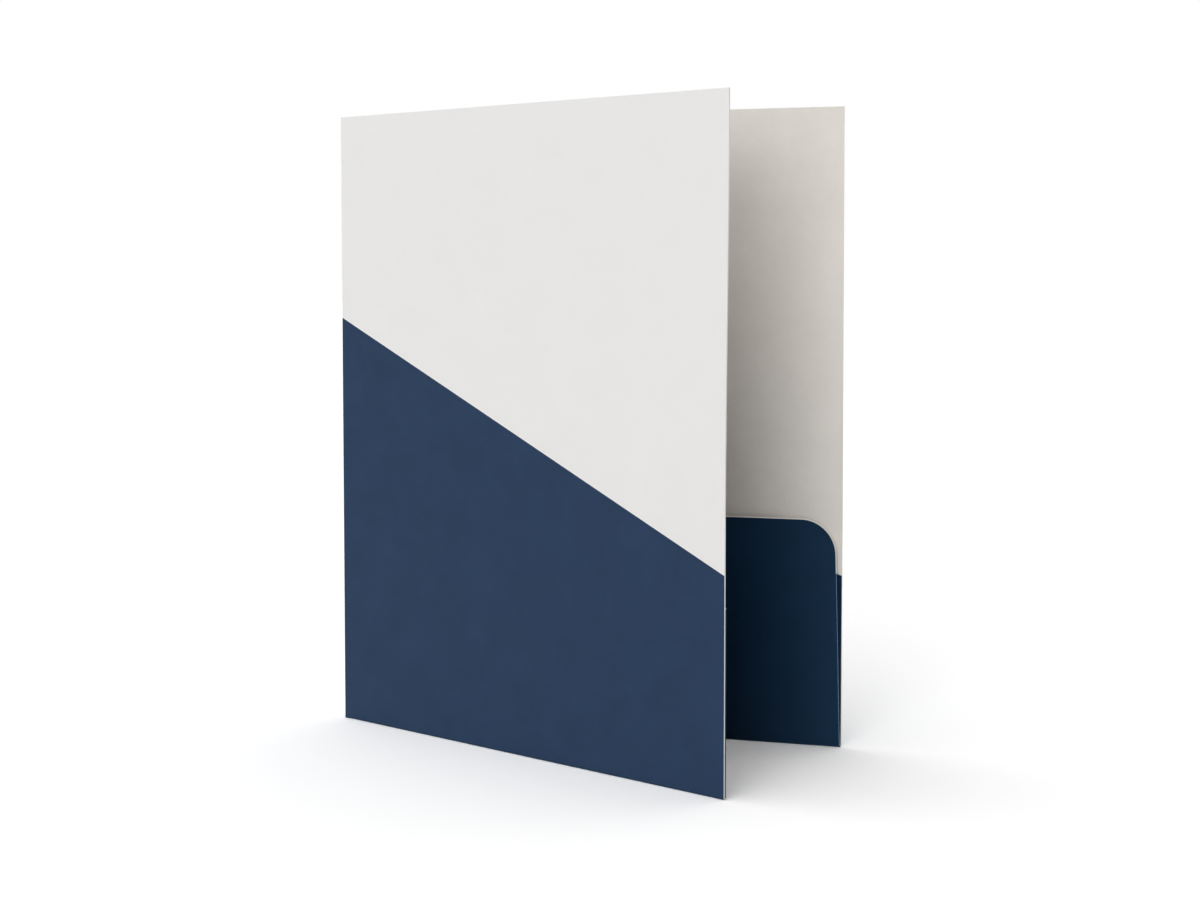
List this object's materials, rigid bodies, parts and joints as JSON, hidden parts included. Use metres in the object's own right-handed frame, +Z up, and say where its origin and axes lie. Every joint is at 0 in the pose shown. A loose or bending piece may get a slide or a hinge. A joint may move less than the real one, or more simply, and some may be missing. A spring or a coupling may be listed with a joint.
{
  "type": "two pocket folder",
  "caption": "Printed board presentation folder standing open, with a creased square spine, hinged covers and a gusseted pocket inside each cover for loose sheets.",
  "frame": {"origin": "foot of the spine panel, at the middle of its lower edge", "axes": "+Z up along the spine, +X from the spine towards the free edges, half way between the covers, +Y towards the back cover"},
  "size_m": [0.2361, 0.1168, 0.2921],
  "materials": {
    "cover_board": "satin",
    "pocket_board": "satin",
    "dried_glue": "satin"
  },
  "bodies": {
    "spine": {"spine": "cover_board", "front_spine_crease": "cover_board", "back_spine_crease": "cover_board"},
    "front_cover": {"front_cover": "cover_board", "front_pocket_fold": "pocket_board", "front_gusset": "pocket_board", "front_glue_flap": "pocket_board", "front_glue_strip": "dried_glue"},
    "front_pocket": {"front_pocket": "pocket_board"},
    "back_cover": {"back_cover": "cover_board", "back_pocket_fold": "pocket_board", "back_gusset": "pocket_board", "back_glue_flap": "pocket_board", "back_glue_strip": "dried_glue"},
    "back_pocket": {"back_pocket": "pocket_board"}
  },
  "joints": [
    {"name": "front_cover_hinge", "type": "hinge", "parent": "spine", "child": "front_cover", "pos_m": [0, -0.00635, 0], "axis": [0, 0, -1], "range_deg": [-12.4, 167.6]},
    {"name": "front_pocket_fold_hinge", "type": "hinge", "parent": "front_cover", "child": "front_pocket", "pos_m": [0.00014, -0.00572, 0.0009], "axis": [-0.9767, 0.2147, 0], "range_deg": [-0.64, 0], "stiffness_Nm_per_rad": 0.05, "deforming": ["front_gusset"]},
    {"name": "back_cover_hinge", "type": "hinge", "parent": "spine", "child": "back_cover", "pos_m": [0, 0.00635, 0], "axis": [0, 0, 1], "range_deg": [-12.4, 167.6]},
    {"name": "back_pocket_fold_hinge", "type": "hinge", "parent": "back_cover", "child": "back_pocket", "pos_m": [0.00014, 0.00572, 0.0009], "axis": [0.9767, 0.2147, 0], "range_deg": [-0.64, 0], "stiffness_Nm_per_rad": 0.05, "deforming": ["back_gusset"]}
  ]
}
